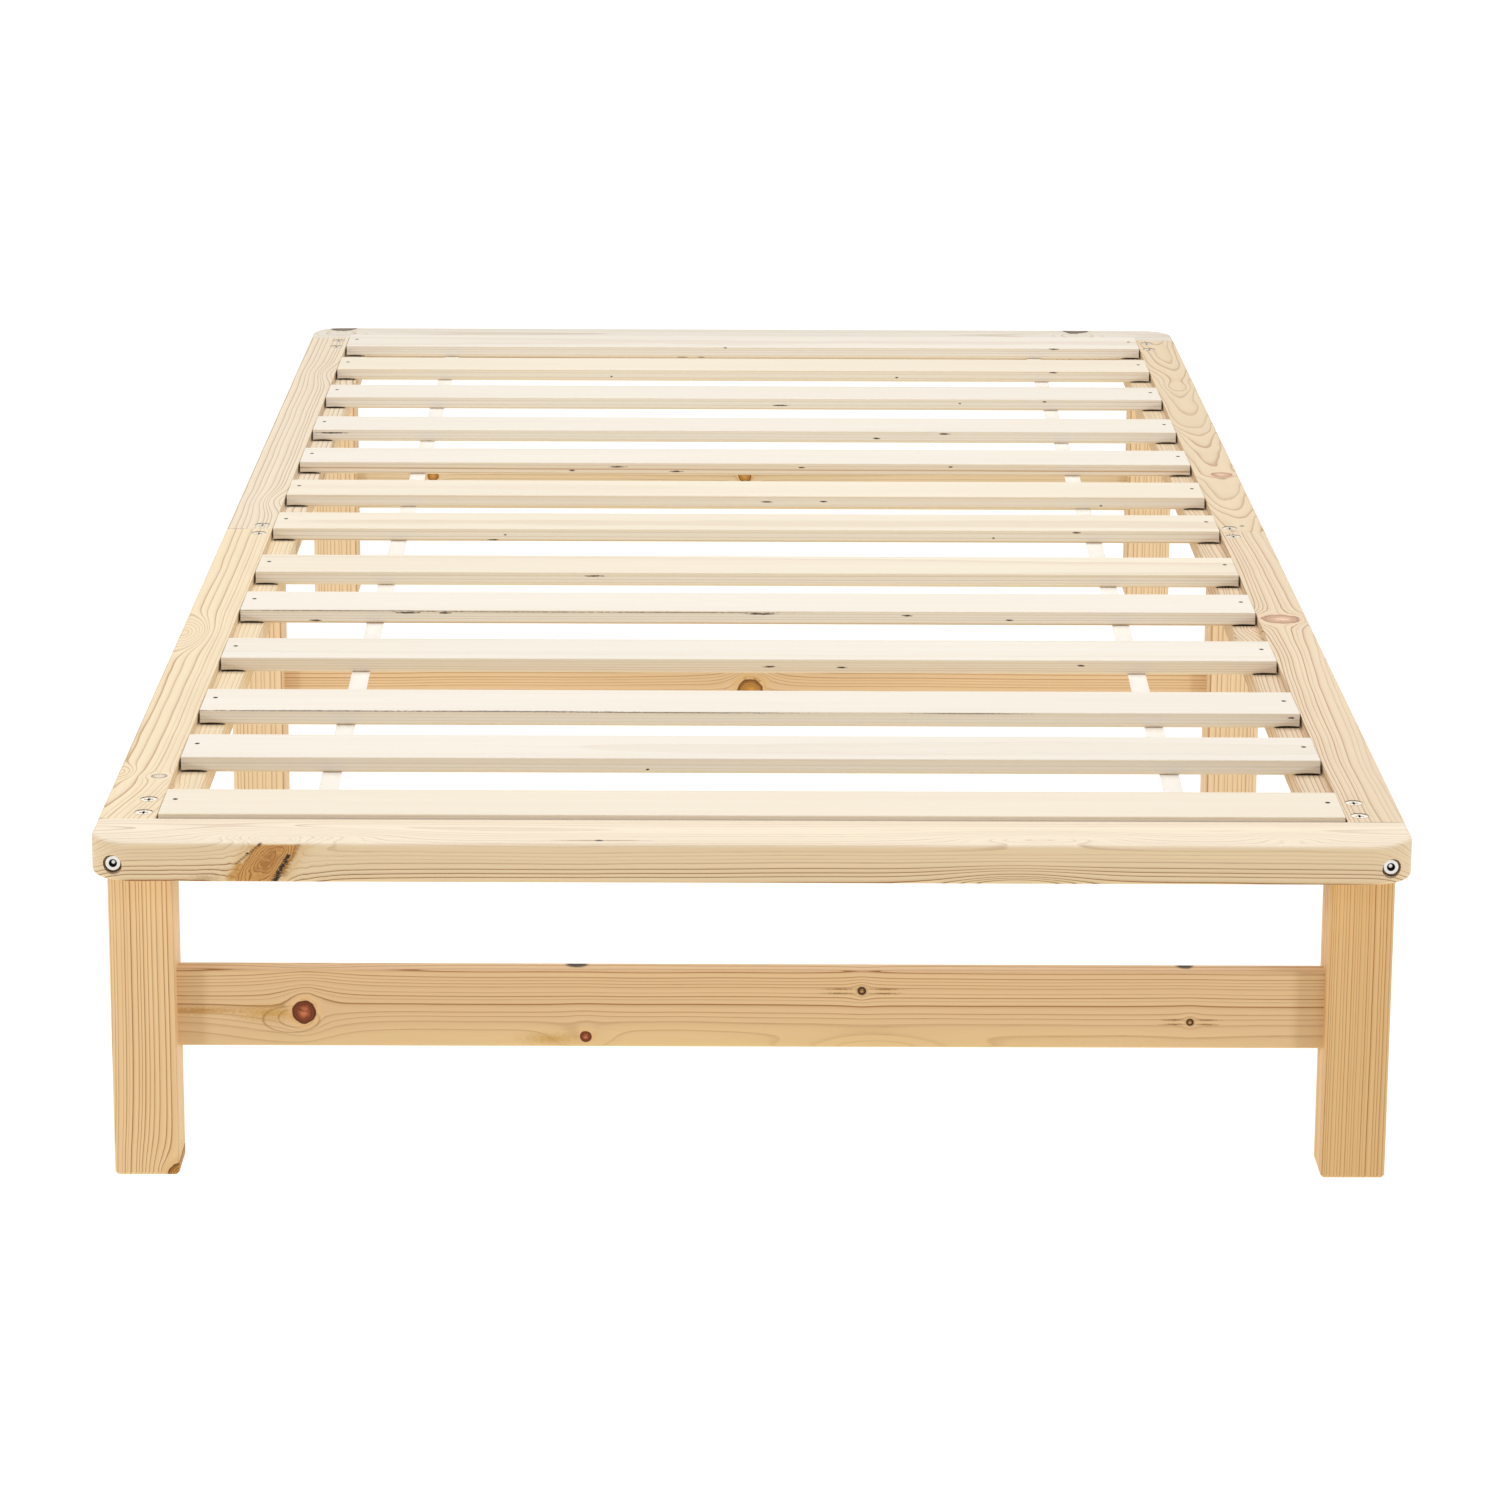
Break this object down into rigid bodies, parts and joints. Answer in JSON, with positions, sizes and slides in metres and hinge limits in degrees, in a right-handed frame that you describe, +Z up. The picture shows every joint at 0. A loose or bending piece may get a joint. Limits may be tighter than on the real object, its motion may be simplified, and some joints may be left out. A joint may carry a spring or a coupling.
{
  "type": "bed frame",
  "caption": "Low slatted bed frame of pale pine: a flat frame with rounded corners on square legs, with low stretcher boards and nailed slats.",
  "frame": {"origin": "on the floor, below the middle of the frame", "axes": "+X across the bed to the right seen from its front end, +Y along the bed to its rear end, +Z up"},
  "size_m": [0.9, 2, 0.2665],
  "materials": {
    "rail_pine": "bare sanded pine",
    "leg_pine": "bare sanded pine",
    "stretcher_pine": "bare sanded pine",
    "slat_pine": "bare planed pine",
    "strap_webbing": "white woven tape",
    "zinc_steel": "bright zinc",
    "dowel_beech": "bare beech"
  },
  "bodies": {
    "root": {"front_rail": "rail_pine", "rear_rail": "rail_pine", "left_front_side_rail": "rail_pine", "left_rear_side_rail": "rail_pine", "right_front_side_rail": "rail_pine", "right_rear_side_rail": "rail_pine", "front_left_leg": "leg_pine", "front_right_leg": "leg_pine", "middle_left_leg": "leg_pine", "middle_right_leg": "leg_pine", "rear_left_leg": "leg_pine", "rear_right_leg": "leg_pine", "front_stretcher": "stretcher_pine", "middle_stretcher": "stretcher_pine", "rear_stretcher": "stretcher_pine", "slat_01": "slat_pine", "slat_02": "slat_pine", "slat_03": "slat_pine", "slat_04": "slat_pine", "slat_05": "slat_pine", "slat_06": "slat_pine", "slat_07": "slat_pine", "slat_08": "slat_pine", "slat_09": "slat_pine", "slat_10": "slat_pine", "slat_11": "slat_pine", "slat_12": "slat_pine", "slat_13": "slat_pine", "left_strap": "strap_webbing", "right_strap": "strap_webbing", "slat_nails": "zinc_steel", "leg_screws": "zinc_steel", "corner_bolts": "zinc_steel", "barrel_nuts": "zinc_steel", "strap_staples": "zinc_steel", "corner_dowels": "dowel_beech", "seam_dowels": "dowel_beech", "stretcher_dowels": "dowel_beech"}
  },
  "joints": []
}
